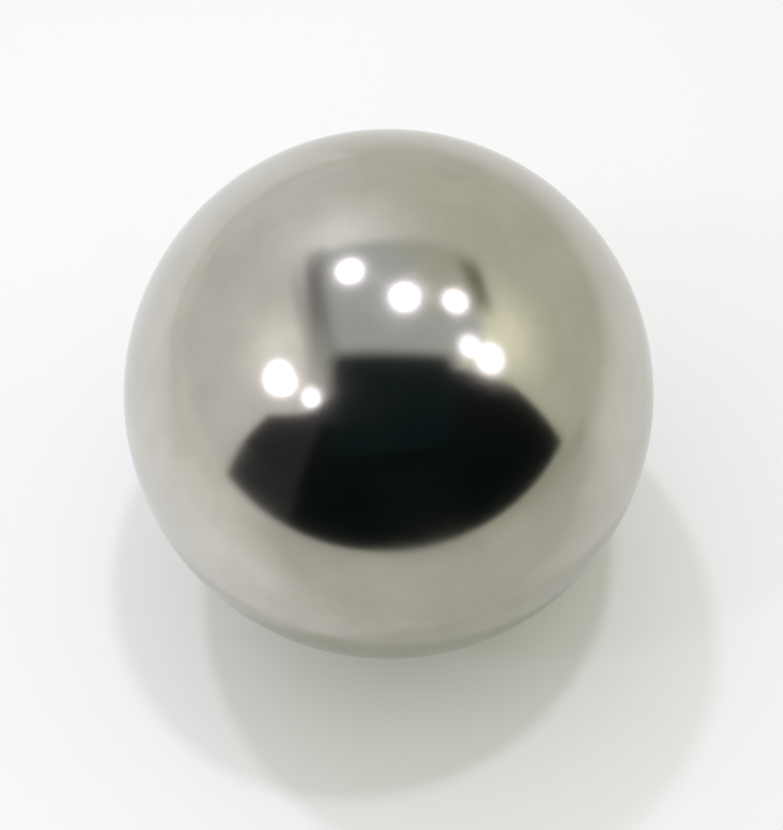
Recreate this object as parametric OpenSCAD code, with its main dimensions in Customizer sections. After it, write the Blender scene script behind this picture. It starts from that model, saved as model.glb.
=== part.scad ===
// Polished steel ball: one solid, cold-headed from wire, then ground and lapped to a true sphere.
// Millimetres, +Z up. The origin is the centre of the ball.

/* [Ball] */
// Diameter of the ball
ball_d = 12.7; // [1:0.1:100]

/* [Hidden] */
// Segments in a full turn of the preview mesh
turn_segments = 128;
// Colour of the polished steel
steel_colour = [0.78, 0.77, 0.74];

// The whole object: a sphere with no flat, seam or hole
module steel_ball() {
    color(steel_colour)
        sphere(d = ball_d, $fn = turn_segments);
}

steel_ball();
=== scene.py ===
"""A lapped steel ball, finished as a mirror and set on a pale bench under small round lamps.

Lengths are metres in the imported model's own frame: the origin is the centre of the ball, +Z is up
and the camera stands on the -Y side. The stage is laid out in ball radii, so it follows the ball's size.
"""

import logging
import math
from dataclasses import dataclass
from enum import Enum
from typing import Any

import bpy
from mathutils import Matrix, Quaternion, Vector


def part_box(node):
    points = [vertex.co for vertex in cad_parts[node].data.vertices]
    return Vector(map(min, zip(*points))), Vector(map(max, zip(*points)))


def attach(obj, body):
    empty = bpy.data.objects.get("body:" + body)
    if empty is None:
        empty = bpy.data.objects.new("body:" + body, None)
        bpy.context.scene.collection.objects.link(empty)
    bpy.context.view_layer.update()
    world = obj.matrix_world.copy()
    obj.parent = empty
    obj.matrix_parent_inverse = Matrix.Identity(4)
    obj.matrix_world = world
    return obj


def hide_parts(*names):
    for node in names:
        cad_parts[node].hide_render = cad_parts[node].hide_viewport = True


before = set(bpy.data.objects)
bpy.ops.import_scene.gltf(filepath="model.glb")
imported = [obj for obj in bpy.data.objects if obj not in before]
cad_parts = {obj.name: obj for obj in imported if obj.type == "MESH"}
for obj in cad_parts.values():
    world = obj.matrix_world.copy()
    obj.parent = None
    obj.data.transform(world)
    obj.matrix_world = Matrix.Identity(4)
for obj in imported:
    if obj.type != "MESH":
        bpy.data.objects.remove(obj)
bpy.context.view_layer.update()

Colour = tuple[float, float, float]
Corner = tuple[float, float]

LOG = logging.getLogger("steel_ball")
# Millimetres in a metre
MILLIMETRES = 1000.0
# Width of the camera's sensor, in millimetres
SENSOR = 36.0
# Attribute that says how fully a board hides what lies behind it
COVER = "cover"
# Places of the colour sockets on a Mix node, whose number sockets have the same names
FIRST_COLOUR = 6
SECOND_COLOUR = 7
MIXED_COLOUR = 2


class Signal:
    """A node's output that can stand in a sum, so that shader maths reads as Python."""

    def __init__(self, graph: "Graph", socket: bpy.types.NodeSocket) -> None:
        """Keeps the output and the graph that it belongs to."""
        self.graph = graph
        self.socket = socket

    def _math(self, operation: str, *terms: "Signal | float") -> "Signal":
        """Adds the Math node of one operation on its terms."""
        return self.graph.node("ShaderNodeMath", {"operation": operation}, dict(enumerate(terms)))

    def __add__(self, other: "Signal | float") -> "Signal":
        """This value plus another."""
        return self._math("ADD", self, other)

    def __radd__(self, other: float) -> "Signal":
        """A number plus this value."""
        return self._math("ADD", other, self)

    def __sub__(self, other: "Signal | float") -> "Signal":
        """This value less another."""
        return self._math("SUBTRACT", self, other)

    def __rsub__(self, other: float) -> "Signal":
        """A number less this value."""
        return self._math("SUBTRACT", other, self)

    def __mul__(self, other: "Signal | float") -> "Signal":
        """This value times another."""
        return self._math("MULTIPLY", self, other)

    def __rmul__(self, other: float) -> "Signal":
        """A number times this value."""
        return self._math("MULTIPLY", other, self)

    def __truediv__(self, other: "Signal | float") -> "Signal":
        """This value divided by another."""
        return self._math("DIVIDE", self, other)

    def __rtruediv__(self, other: float) -> "Signal":
        """A number divided by this value."""
        return self._math("DIVIDE", other, self)

    def __pow__(self, power: float) -> "Signal":
        """This value raised to a power."""
        return self._math("POWER", self, power)

    def __rpow__(self, base: float) -> "Signal":
        """A number raised to this value."""
        return self._math("POWER", base, self)

    def at_least(self, floor: float) -> "Signal":
        """This value, or the floor where it is lower."""
        return self._math("MAXIMUM", self, floor)


class Graph:
    """A node tree that grows call by call, for shaders, the world and geometry alike."""

    def __init__(self, tree: bpy.types.NodeTree) -> None:
        """Takes over a tree and empties it."""
        self.tree = tree
        tree.nodes.clear()

    def node(
        self,
        kind: str,
        settings: dict[str, Any] | None = None,
        sockets: dict[int | str, Any] | None = None,
        output: int | str = 0,
    ) -> Signal | None:
        """Adds one node.

        Args:
            kind: Blender's name of the node's type.
            settings: The node's own properties, set before its sockets.
            sockets: Values or signals for its inputs, by name or place.
            output: Name or place of the output that is wanted.

        Returns:
            That output, or None for a node that has none.
        """
        made = self.tree.nodes.new(kind)
        for name, value in (settings or {}).items():
            setattr(made, name, value)
        for key, value in (sockets or {}).items():
            if isinstance(value, Signal):
                self.tree.links.new(value.socket, made.inputs[key])
            else:
                made.inputs[key].default_value = value
        return Signal(self, made.outputs[output]) if made.outputs else None

    def vector(self, operation: str, *terms: Any, output: str = "Vector") -> Signal:
        """Adds the Vector Math node of one operation on its terms."""
        return self.node("ShaderNodeVectorMath", {"operation": operation}, dict(enumerate(terms)), output)

    def scaled(self, vector: Any, factor: Signal | float) -> Signal:
        """Multiplies a vector or a colour by a number."""
        sockets = {"Vector": vector, "Scale": factor}
        return self.node("ShaderNodeVectorMath", {"operation": "SCALE"}, sockets, "Vector")

    def mixed(self, factor: Signal, first: Any, second: Any) -> Signal:
        """Blends two colours, from the first at 0 to the second at 1."""
        sockets = {"Factor": factor, FIRST_COLOUR: first, SECOND_COLOUR: second}
        return self.node("ShaderNodeMix", {"data_type": "RGBA"}, sockets, MIXED_COLOUR)

    def noise(self, place: Signal, size: float, detail: float) -> Signal:
        """Adds soft random cloud.

        Args:
            place: The coordinates that it follows.
            size: Width of one cloud, in the units of the coordinates.
            detail: How many finer layers lie on it.

        Returns:
            A value between 0 and 1, mostly near a half.
        """
        sockets = {"Vector": place, "Scale": 1.0 / size, "Detail": detail}
        return self.node("ShaderNodeTexNoise", {"noise_dimensions": "3D"}, sockets, "Fac")

    def step(self, value: Signal, low: float, high: float) -> Signal:
        """Adds a smooth rise from 0 at the low value to 1 at the high one."""
        sockets = {"Value": value, "From Min": low, "From Max": high}
        return self.node("ShaderNodeMapRange", {"interpolation_type": "SMOOTHSTEP"}, sockets)


class Seen(Enum):
    """Which rays meet a piece of the stage."""

    EVERYWHERE = "everywhere"
    IN_MIRRORS = "in mirrors only"


def opaque(colour: Colour) -> tuple[float, float, float, float]:
    """Gives a colour the alpha that colour sockets ask for."""
    return (*colour, 1.0)


def heading(azimuth: float, elevation: float) -> Vector:
    """Turns two angles into a direction.

    Args:
        azimuth: Degrees from +Y towards +X.
        elevation: Degrees above the horizon.

    Returns:
        The unit vector that points there.
    """
    around, up = math.radians(azimuth), math.radians(elevation)
    return Vector((math.sin(around) * math.cos(up), math.cos(around) * math.cos(up), math.sin(up)))


def new_object(name: str, data: bpy.types.ID) -> bpy.types.Object:
    """Puts a new object into the scene.

    Args:
        name: The object's name.
        data: Its mesh, lamp or camera.

    Returns:
        The object, at the origin.
    """
    made = bpy.data.objects.new(name, data)
    bpy.context.scene.collection.objects.link(made)
    return made


def new_material(name: str) -> tuple[bpy.types.Material, Graph]:
    """Makes a material with an empty node tree.

    Args:
        name: The material's name.

    Returns:
        The material and the graph of its nodes.
    """
    material = bpy.data.materials.new(name)
    material.use_nodes = True
    return material, Graph(material.node_tree)


@dataclass(frozen=True)
class LappedSteel:
    """Hardened chrome steel, lapped to a mirror and since handled.

    Attributes:
        bright: Warm grey of the bare metal.
        clouded: The same metal under a thin film.
        cloud_size: Width of a cloud in the film.
        cloud_detail: Finer layers on a cloud.
        cloud_range: Cloud values where the film starts and where it is full.
        gloss: Roughness of the bare mirror.
        smudge: How much rougher the smudged patches are.
        smudge_size: Width of a smudge.
        smudge_detail: Finer layers on a smudge.
        smudge_range: Cloud values where a smudge starts and where it is full.
        grain: How much the roughness wavers from grain to grain of the lapping.
        grain_size: Width of a lapping grain.
        grain_detail: Finer layers on a grain.
        ripple: Height of the slow ripple that the lapping leaves.
        ripple_size: Width of a ripple.
        ripple_detail: Finer layers on a ripple.
        edge: What is left of the mirror's rise towards its rim, as steel has less of it than glass.
    """

    bright: Colour = (0.57, 0.55, 0.49)
    clouded: Colour = (0.53, 0.51, 0.455)
    cloud_size: float = 0.0011
    cloud_detail: float = 3.0
    cloud_range: tuple[float, float] = (0.3, 0.7)
    gloss: float = 0.125
    smudge: float = 0.03
    smudge_size: float = 0.0024
    smudge_detail: float = 4.0
    smudge_range: tuple[float, float] = (0.48, 0.62)
    grain: float = 0.012
    grain_size: float = 0.00009
    grain_detail: float = 2.0
    ripple: float = 1.2e-7
    ripple_size: float = 0.0007
    ripple_detail: float = 1.0
    edge: Colour = (0.88, 0.88, 0.88)

    def material(self) -> bpy.types.Material:
        """Builds the shader.

        Returns:
            The material, which reads Object coordinates only.
        """
        material, graph = new_material("lapped_steel")
        place = graph.node("ShaderNodeTexCoord", output="Object")
        clouds = graph.noise(place, self.cloud_size, self.cloud_detail)
        film = graph.step(clouds, *self.cloud_range)
        smudges = graph.noise(place, self.smudge_size, self.smudge_detail)
        smudged = graph.step(smudges, *self.smudge_range)
        grain = graph.noise(place, self.grain_size, self.grain_detail) - 0.5
        ripple = graph.noise(place, self.ripple_size, self.ripple_detail)
        shader = graph.node(
            "ShaderNodeBsdfPrincipled",
            sockets={
                "Base Color": graph.mixed(film, opaque(self.bright), opaque(self.clouded)),
                "Metallic": 1.0,
                "Specular Tint": opaque(self.edge),
                "Roughness": self.gloss + self.smudge * smudged + self.grain * grain,
                "Normal": graph.node("ShaderNodeBump", sockets={"Distance": self.ripple, "Height": ripple}),
            },
        )
        graph.node("ShaderNodeOutputMaterial", sockets={"Surface": shader})
        return material


@dataclass(frozen=True)
class SideTones:
    """Two tones that run into each other round the ball, from one side to the other.

    Attributes:
        left: Tone at -X.
        right: Tone at +X.
    """

    left: Colour
    right: Colour

    def around(self, graph: Graph, towards: Signal) -> Signal:
        """Adds the tone in each direction.

        Args:
            graph: The nodes that it joins.
            towards: Unit vector away from the ball.

        Returns:
            The tone.
        """
        side = graph.vector("DOT_PRODUCT", towards, (1.0, 0.0, 0.0), output="Value")
        return graph.mixed(0.5 + 0.5 * side, opaque(self.left), opaque(self.right))


@dataclass(frozen=True)
class PaleLaminate:
    """The pale top of the bench, with painted light: near white round the ball and dimmed outwards to the
    tone of the walls, as painted falloff of light.

    Attributes:
        radius: Radius of the ball, the unit of the distances below.
        near: Tones round the ball; the right one is a little darker as painted shade.
        far: Tones of the far stretches, dimmed as painted falloff of light.
        fade: Distances where the painted falloff to the far tones starts and ends.
        roughness: How dull the top is.
    """

    radius: float
    # The right near tone is a little darker: painted shade
    near: SideTones = SideTones((0.935, 0.935, 0.935), (0.92, 0.92, 0.92))
    far: SideTones = SideTones((0.8, 0.795, 0.785), (0.6, 0.605, 0.525))
    fade: tuple[float, float] = (0.5, 11.0)
    roughness: float = 0.7

    def material(self) -> bpy.types.Material:
        """Builds the shader, which is clear from below.

        Returns:
            The material.
        """
        material, graph = new_material("pale_laminate_painted_falloff")
        place = graph.node("ShaderNodeTexCoord", output="Object")
        flat = graph.vector("MULTIPLY", place, (1.0 / self.radius, 1.0 / self.radius, 0.0))
        outwards = graph.vector("NORMALIZE", flat)
        # Painted light: the tone dims away from the ball, as light that falls off with distance
        away = graph.step(graph.vector("LENGTH", flat, output="Value"), *self.fade)
        tone = graph.mixed(away, self.near.around(graph, outwards), self.far.around(graph, outwards))
        top = graph.node(
            "ShaderNodeBsdfPrincipled",
            sockets={
                "Base Color": tone,
                "Roughness": self.roughness,
                "Specular IOR Level": 0.0,
            },
        )
        below = graph.node("ShaderNodeNewGeometry", output="Backfacing")
        clear = graph.node("ShaderNodeBsdfTransparent")
        surface = graph.node("ShaderNodeMixShader", sockets={0: below, 1: top, 2: clear})
        graph.node("ShaderNodeOutputMaterial", sockets={"Surface": surface})
        return material


@dataclass(frozen=True)
class PlainTone:
    """The even tone of a stage board, the same under any light.

    Attributes:
        name: Name of the material.
        tone: Brightness that a mirror sees, where 1 is white.
        density: Share of what lies behind that the board hides.
    """

    name: str
    tone: Colour
    density: float = 1.0

    def material(self) -> bpy.types.Material:
        """Builds the shader, which thins out where the board's cover does.

        Returns:
            The material, which isn't counted as a lamp.
        """
        material, graph = new_material(self.name)
        clear = graph.node("ShaderNodeBsdfTransparent")
        tone = graph.node("ShaderNodeEmission", sockets={"Color": opaque(self.tone)})
        cover = graph.node("ShaderNodeAttribute", {"attribute_name": COVER}, output="Fac")
        surface = graph.node("ShaderNodeMixShader", sockets={0: self.density * cover, 1: clear, 2: tone})
        graph.node("ShaderNodeOutputMaterial", sockets={"Surface": surface})
        material.cycles.emission_sampling = "NONE"
        return material


@dataclass
class SteelBall:
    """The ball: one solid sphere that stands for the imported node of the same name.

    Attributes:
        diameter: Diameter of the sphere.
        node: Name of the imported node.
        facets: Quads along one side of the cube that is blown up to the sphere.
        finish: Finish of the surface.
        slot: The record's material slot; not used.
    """

    diameter: float
    node: str = "steel_ball"
    facets: int = 96
    finish: LappedSteel = LappedSteel()
    slot: str = "polished_steel"

    def _tree(self) -> tuple[bpy.types.NodeTree, dict[str, str]]:
        """Builds the nodes that blow a cube up to an even sphere.

        Returns:
            The tree, and the identifier of each named input.
        """
        tree = bpy.data.node_groups.new("even_sphere", "GeometryNodeTree")
        kinds = {
            "Diameter": "NodeSocketFloat",
            "Facets": "NodeSocketInt",
            "Finish": "NodeSocketMaterial",
        }
        names = {
            name: tree.interface.new_socket(name, in_out="INPUT", socket_type=kind).identifier
            for name, kind in kinds.items()
        }
        tree.interface.new_socket("Geometry", in_out="OUTPUT", socket_type="NodeSocketGeometry")
        graph = Graph(tree)
        diameter, facets, finish = (graph.node("NodeGroupInput", output=name) for name in kinds)
        corners = facets + 1.0
        sides = {f"Vertices {axis}": corners for axis in "XYZ"}
        cube = graph.node("GeometryNodeMeshCube", sockets={"Size": (2.0, 2.0, 2.0), **sides})
        # Even steps of angle, and not of length, keep the quads alike from a face's middle to its corners
        even = graph.vector("TANGENT", graph.scaled(graph.node("GeometryNodeInputPosition"), math.pi / 4))
        round_place = graph.scaled(graph.vector("NORMALIZE", even), diameter / 2.0)
        sphere = graph.node("GeometryNodeSetPosition", sockets={"Geometry": cube, "Position": round_place})
        smooth = graph.node("GeometryNodeSetShadeSmooth", sockets={"Geometry": sphere})
        solid = graph.node("GeometryNodeRealizeInstances", sockets={"Geometry": smooth})
        dressed = graph.node("GeometryNodeSetMaterial", sockets={"Geometry": solid, "Material": finish})
        graph.node("NodeGroupOutput", sockets={"Geometry": dressed})
        return tree, names

    def build(self) -> bpy.types.Object:
        """Makes the sphere as a plain mesh.

        Returns:
            The ball, dressed and with no modifier.
        """
        ball = new_object("ball", bpy.data.meshes.new("ball_blank"))
        tree, names = self._tree()
        blow = ball.modifiers.new("even_sphere", "NODES")
        blow.node_group = tree
        blow[names["Diameter"]] = self.diameter
        blow[names["Facets"]] = self.facets
        blow[names["Finish"]] = self.finish.material()
        depsgraph = bpy.context.evaluated_depsgraph_get()
        mesh = bpy.data.meshes.new_from_object(ball.evaluated_get(depsgraph))
        mesh.name = "ball"
        ball.modifiers.remove(blow)
        ball.data = mesh
        return ball

    def fit(self, ball: bpy.types.Object) -> None:
        """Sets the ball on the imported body.

        Args:
            ball: The built ball.
        """
        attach(ball, "root")
        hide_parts(self.node)


@dataclass(frozen=True)
class Board:
    """A flat piece of the stage.

    Attributes:
        name: Name of the board.
        corners: Its outline, in its own plane.
        finish: Its finish.
        feather: Share of its size that its edge takes to thin out, to each side.
        seen: Which rays meet it.
    """

    name: str
    corners: tuple[Corner, ...]
    finish: PaleLaminate | PlainTone
    feather: float = 0.0
    seen: Seen = Seen.IN_MIRRORS

    def _ring(self, swell: float) -> list[Corner]:
        """Gives the outline, swollen about its middle."""
        middle = [sum(numbers) / len(self.corners) for numbers in zip(*self.corners)]
        return [
            tuple(m + (1.0 + swell) * (c - m) for m, c in zip(middle, corner))
            for corner in self.corners
        ]

    def build(self, centre: Vector, right: Vector, up: Vector) -> bpy.types.Object:
        """Sets the board in its plane.

        Args:
            centre: Where the plane's own zero lies.
            right: What a unit of a corner's first number adds.
            up: What a unit of its second number adds.

        Returns:
            The board.
        """
        count = len(self.corners)
        outline = self._ring(-self.feather)
        faces = [tuple(range(count))]
        covers = [1.0] * count
        if self.feather:
            outline += self._ring(self.feather)
            faces += [(i, (i + 1) % count, count + (i + 1) % count, count + i) for i in range(count)]
            covers += [0.0] * count
        mesh = bpy.data.meshes.new(self.name)
        mesh.from_pydata([centre + right * across + up * along for across, along in outline], [], faces)
        mesh.attributes.new(COVER, "FLOAT", "POINT").data.foreach_set("value", covers)
        mesh.materials.append(self.finish.material())
        board = new_object(self.name, mesh)
        if self.seen is Seen.IN_MIRRORS:
            board.visible_camera = False
            board.visible_diffuse = False
            board.visible_transmission = False
            board.visible_shadow = False
        return board


@dataclass(frozen=True)
class Lamp:
    """One round lamp.

    Attributes:
        name: Name of the lamp.
        azimuth: Degrees from +Y towards +X.
        elevation: Degrees above the horizon.
        spread: Degrees from its middle to its rim, seen from the ball.
        light: What it adds to a white face turned to it, where 1 is full white.
        seen: Whether it also lights the bench, or only shows in mirrors.
        tint: Colour of its light.
    """

    name: str
    azimuth: float
    elevation: float
    spread: float
    light: float
    seen: Seen = Seen.IN_MIRRORS
    tint: Colour = (0.99, 0.93, 1.13)

    def build(self, distance: float) -> bpy.types.Object:
        """Hangs the lamp and turns it to the ball.

        Args:
            distance: How far from the ball it hangs.

        Returns:
            The lamp.
        """
        towards = heading(self.azimuth, self.elevation)
        data = bpy.data.lights.new(self.name, "AREA")
        data.shape = "DISK"
        data.size = 2.0 * distance * math.tan(math.radians(self.spread))
        # A white face turned to a far lamp sends back the lamp's energy over (pi * distance) squared
        data.energy = self.light * math.pi**2 * distance**2
        data.color = self.tint
        lamp = new_object(self.name, data)
        lamp.location = towards * distance
        lamp.rotation_mode = "QUATERNION"
        lamp.rotation_quaternion = towards.to_track_quat("Z", "Y")
        lamp.visible_camera = False
        lamp.visible_diffuse = self.seen is Seen.EVERYWHERE
        return lamp


@dataclass(frozen=True)
class Patch:
    """A soft patch of painted light on the walls, or of painted shade where its tone is below zero.

    Attributes:
        azimuth: Degrees from +Y towards +X.
        elevation: Degrees above the horizon.
        narrowness: How fast it fades away from its middle.
        tone: What it adds in its middle.
    """

    azimuth: float
    elevation: float
    narrowness: float
    tone: Colour


@dataclass(frozen=True)
class Surroundings:
    """The pale walls round the bench, which light it softly and show in the mirror.

    Attributes:
        walls: Even tones of the walls.
        patches: Patches of painted light and painted shade on them.
    """

    walls: SideTones = SideTones((0.785, 0.775, 0.785), (0.637, 0.637, 0.54))
    patches: tuple[Patch, ...] = (
        # Painted light: glows at the back, left and right where the lamps hang, then a faint lighter band
        # low at the back; painted shade in front; soft light from overhead
        Patch(-14.0, 44.0, 22.0, (0.36, 0.365, 0.44)),
        Patch(-87.0, 46.0, 28.0, (0.34, 0.34, 0.32)),
        Patch(92.5, 40.0, 24.0, (0.46, 0.46, 0.34)),
        Patch(-18.0, 6.0, 24.0, (0.09, 0.1, 0.15)),
        Patch(180.0, 15.0, 4.0, (-0.36, -0.22, -0.4)),
        Patch(0.0, 82.0, 12.0, (0.39, 0.46, 0.5)),
    )

    def build(self) -> bpy.types.World:
        """Builds the world's shader.

        Returns:
            The world, set on the scene.
        """
        world = bpy.data.worlds.new("pale_walls")
        world.use_nodes = True
        graph = Graph(world.node_tree)
        towards = graph.node("ShaderNodeTexCoord", output="Generated")
        tone = self.walls.around(graph, towards)
        for patch in self.patches:
            middle = heading(patch.azimuth, patch.elevation)
            near = graph.vector("DOT_PRODUCT", towards, middle, output="Value").at_least(0.0)
            tone = graph.vector("ADD", tone, graph.scaled(patch.tone, near**patch.narrowness))
        shader = graph.node("ShaderNodeBackground", sockets={"Color": tone})
        graph.node("ShaderNodeOutputWorld", sockets={"Surface": shader})
        bpy.context.scene.world = world
        return world


@dataclass(frozen=True)
class Viewpoint:
    """The camera: where it stands and how the ball lies in its picture.

    Attributes:
        elevation: Degrees above the horizon.
        distance: How far from the ball's centre it stands, in ball radii.
        roll: Degrees that it is turned about its own line of sight, clockwise.
        focus: Focal length in pixels.
        picture: Width and height of the picture in pixels.
        ball_pixel: Where the ball's centre lies in the picture.
        sight: How far it sees, in metres.
    """

    elevation: float = 60.5
    distance: float = 10.9
    roll: float = 6.0
    focus: float = 2876.0
    picture: tuple[int, int] = (783, 830)
    ball_pixel: Corner = (388.7, 394.0)
    sight: float = 1000.0

    def turn(self) -> Quaternion:
        """Gives the camera's turn when it looks straight at the ball."""
        back = heading(180.0, self.elevation)
        return (-back).to_track_quat("-Z", "Y") @ Quaternion((0.0, 0.0, 1.0), -math.radians(self.roll))

    def place(self, radius: float) -> Vector:
        """Gives where the lens stands, for a ball of that radius."""
        return heading(180.0, self.elevation) * self.distance * radius

    def build(self, radius: float) -> bpy.types.Object:
        """Sets the camera up.

        Args:
            radius: Radius of the ball.

        Returns:
            The scene's camera.
        """
        data = bpy.data.cameras.new("camera")
        data.sensor_width = SENSOR
        data.lens = self.focus * SENSOR / max(self.picture)
        data.clip_start = radius
        data.clip_end = self.sight
        camera = new_object("camera", data)
        right = math.atan2(self.picture[0] / 2.0 - self.ball_pixel[0], self.focus)
        down = math.atan2(self.picture[1] / 2.0 - self.ball_pixel[1], self.focus)
        aside = Quaternion((0.0, 1.0, 0.0), -right) @ Quaternion((1.0, 0.0, 0.0), -down)
        camera.rotation_mode = "QUATERNION"
        camera.rotation_quaternion = self.turn() @ aside
        camera.location = self.place(radius)
        bpy.context.scene.camera = camera
        return camera


@dataclass(frozen=True)
class Stage:
    """The bench, the walls, the lamps and the boards that show in the mirror, laid out in ball radii.

    Attributes:
        radius: Radius of the ball, in metres.
        view: Where the camera stands.
        surroundings: The walls.
        bench_reach: From the ball to each edge of the bench.
        flags: Dark boards that stand upright in front, side by side.
        flag_ahead: How far in front of the ball they stand.
        painted_sheets: Sheets seen in mirrors only, just over the bench: a grey one in front paints shade
            on the bench, a pale one on the left paints light on it.
        painted_sheet_height: Height of the lower one.
        painted_sheet_gap: From one sheet up to the next.
        lens_board: Dark board round the lens, across the line of sight.
        overhead: Boards over the ball from the highest down, laid out for a height of one.
        overhead_height: How far over the ball the highest one hangs.
        overhead_gap: From one down to the next.
        lamps: The lamps.
        lamp_distance: How far from the ball they hang.
    """

    radius: float
    view: Viewpoint = Viewpoint()
    surroundings: Surroundings = Surroundings()
    bench_reach: float = 400.0
    flags: tuple[Board, ...] = (
        Board(
            "left_flag",
            ((-23.5, -1.0), (-8.0, -1.0), (-8.0, 18.5), (-12.0, 13.7), (-21.3, 13.9), (-23.5, 7.0)),
            PlainTone("charcoal_cloth", (0.024, 0.023, 0.027)),
        ),
        Board(
            "right_flag",
            ((-8.0, -1.0), (22.4, -1.0), (23.3, 15.0), (16.1, 23.9), (-8.0, 20.5)),
            PlainTone("black_cloth", (0.0, 0.002, 0.003)),
        ),
    )
    flag_ahead: float = 9.5
    painted_sheets: tuple[Board, ...] = (
        # Painted shade: under this grey sheet the bench in front looks darker in the mirror
        Board(
            "front_painted_shade",
            (
                (-9.0, -9.4),
                (14.0, -9.4),
                (12.0, -2.6),
                (4.5, -1.4),
                (1.6, -1.0),
                (-0.2, -1.1),
                (-5.0, -3.8),
            ),
            PlainTone("grey_painted_shade", (0.28, 0.29, 0.21), 0.43),
            feather=0.2,
        ),
        # Painted light: under this pale sheet the bench to the left looks brighter in the mirror
        Board(
            "left_painted_light",
            (
                (-9.0, 2.0),
                (-3.4, -0.2),
                (-2.3, -1.6),
                (-1.55, -1.5),
                (-1.3, 0.8),
                (-0.9, 2.0),
                (-0.5, 18.0),
                (-9.0, 16.0),
            ),
            PlainTone("pale_painted_light", (1.1, 1.12, 1.18), 0.48),
            feather=0.15,
        ),
    )
    painted_sheet_height: float = -0.98
    painted_sheet_gap: float = 0.01
    lens_board: Board = Board(
        "lens_board",
        ((-4.8, -7.0), (5.63, -7.0), (5.63, 2.7), (5.0, 3.3), (-4.2, 3.3), (-4.8, 2.7)),
        PlainTone("dark_card", (0.0, 0.007, 0.009)),
        feather=0.14,
    )
    overhead: tuple[Board, ...] = (
        Board(
            "scrim",
            ((-0.47, -0.25), (0.87, -0.25), (0.87, 0.79), (-0.47, 0.79)),
            PlainTone("grey_scrim", (0.52, 0.56, 0.565)),
            feather=0.13,
        ),
        Board(
            "warm_scrim",
            ((0.25, 0.1), (0.9, 0.1), (0.9, 0.8), (0.25, 0.8)),
            PlainTone("warm_scrim_grey", (0.57, 0.56, 0.4), 0.5),
            feather=0.35,
        ),
        Board(
            "left_rail",
            ((-0.53, -0.02), (-0.38, -0.02), (-0.41, 0.76), (-0.56, 0.76)),
            PlainTone("left_rail_grey", (0.2, 0.2, 0.21)),
            feather=0.55,
        ),
        Board(
            "left_shade",
            ((-0.69, -0.5), (-0.4, -0.5), (-0.4, 0.6), (-0.7, 0.6), (-0.62, -0.1)),
            PlainTone("left_shade_grey", (0.3, 0.3, 0.3), 0.55),
            feather=0.6,
        ),
        Board(
            "right_rail",
            ((0.79, 0.2), (1.02, 0.2), (0.93, 0.66), (0.7, 0.66)),
            PlainTone("right_rail_grey", (0.14, 0.13, 0.07)),
            feather=0.36,
        ),
    )
    overhead_height: float = 1200.0
    overhead_gap: float = 5.0
    lamps: tuple[Lamp, ...] = (
        Lamp("rear_lamp", -21.2, 62.7, 2.0, 0.135, Seen.EVERYWHERE),
        Lamp("overhead_lamp", 42.1, 74.7, 2.0, 0.135, Seen.EVERYWHERE),
        Lamp("overhead_glow", 44.2, 75.3, 2.6, 0.06),
        Lamp("right_high_lamp", 71.6, 58.1, 4.6, 0.026),
        Lamp("right_middle_lamp", 104.0, 53.2, 4.2, 0.016),
        Lamp("right_low_lamp", 106.2, 43.4, 5.6, 0.03),
        Lamp("left_low_lamp", -103.4, 42.3, 6.0, 0.045),
        Lamp("left_middle_lamp", -109.0, 44.2, 2.2, 0.038, Seen.EVERYWHERE),
        Lamp("left_front_lamp", -125.9, 48.4, 3.4, 0.014),
    )
    lamp_distance: float = 1000.0

    def build_bench(self) -> bpy.types.Object:
        """Lays the bench under the ball.

        Returns:
            The bench.
        """
        r, reach = self.radius, self.bench_reach
        corners = ((-reach, -reach), (reach, -reach), (reach, reach), (-reach, reach))
        bench = Board("bench", corners, PaleLaminate(r), seen=Seen.EVERYWHERE)
        return bench.build(Vector((0.0, 0.0, -r)), Vector((r, 0.0, 0.0)), Vector((0.0, r, 0.0)))

    def build_boards(self) -> list[bpy.types.Object]:
        """Sets up the boards that show in the mirror.

        Returns:
            The boards.
        """
        x, y, z = (Vector(axis) * self.radius for axis in ((1, 0, 0), (0, 1, 0), (0, 0, 1)))
        turn = self.view.turn()
        boards = [flag.build(y * -self.flag_ahead, x, z) for flag in self.flags]
        for level, painted_sheet in enumerate(self.painted_sheets):
            boards.append(painted_sheet.build(z * (self.painted_sheet_height + level * self.painted_sheet_gap), x, y))
        boards.append(self.lens_board.build(self.view.place(self.radius), turn @ x, turn @ y))
        for level, board in enumerate(self.overhead):
            height = self.overhead_height - level * self.overhead_gap
            boards.append(board.build(z * height, x * height, y * height))
        return boards

    def build(self) -> None:
        """Builds every piece of the stage and names each in the log."""
        LOG.info("%s: %d radii to each edge", self.build_bench().name, self.bench_reach)
        for board in self.build_boards():
            LOG.info("%s: seen in mirrors only", board.name)
        LOG.info("%s: %d patches", self.surroundings.build().name, len(self.surroundings.patches))
        for lamp in self.lamps:
            lamp.build(self.lamp_distance * self.radius)
            LOG.info("%s: %.1f degrees up, %.3f of full white", lamp.name, lamp.elevation, lamp.light)
        camera = self.view.build(self.radius)
        LOG.info("%s: %.1f degrees up, lens %.1f mm", camera.name, self.view.elevation, camera.data.lens)


def main() -> None:
    """Builds the ball and its stage, and logs the ball's size."""
    logging.basicConfig(level=logging.INFO, format="%(name)s: %(message)s")
    low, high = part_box("steel_ball")
    steel_ball = SteelBall(diameter=high.z - low.z)
    ball = steel_ball.build()
    steel_ball.fit(ball)
    across = ball.dimensions.x * MILLIMETRES
    LOG.info("%s: %d faces, %.2f mm across", ball.name, len(ball.data.polygons), across)
    Stage(radius=steel_ball.diameter / 2.0).build()
    bpy.context.scene.view_settings.view_transform = "Standard"


if __name__ == "__main__":
    main()
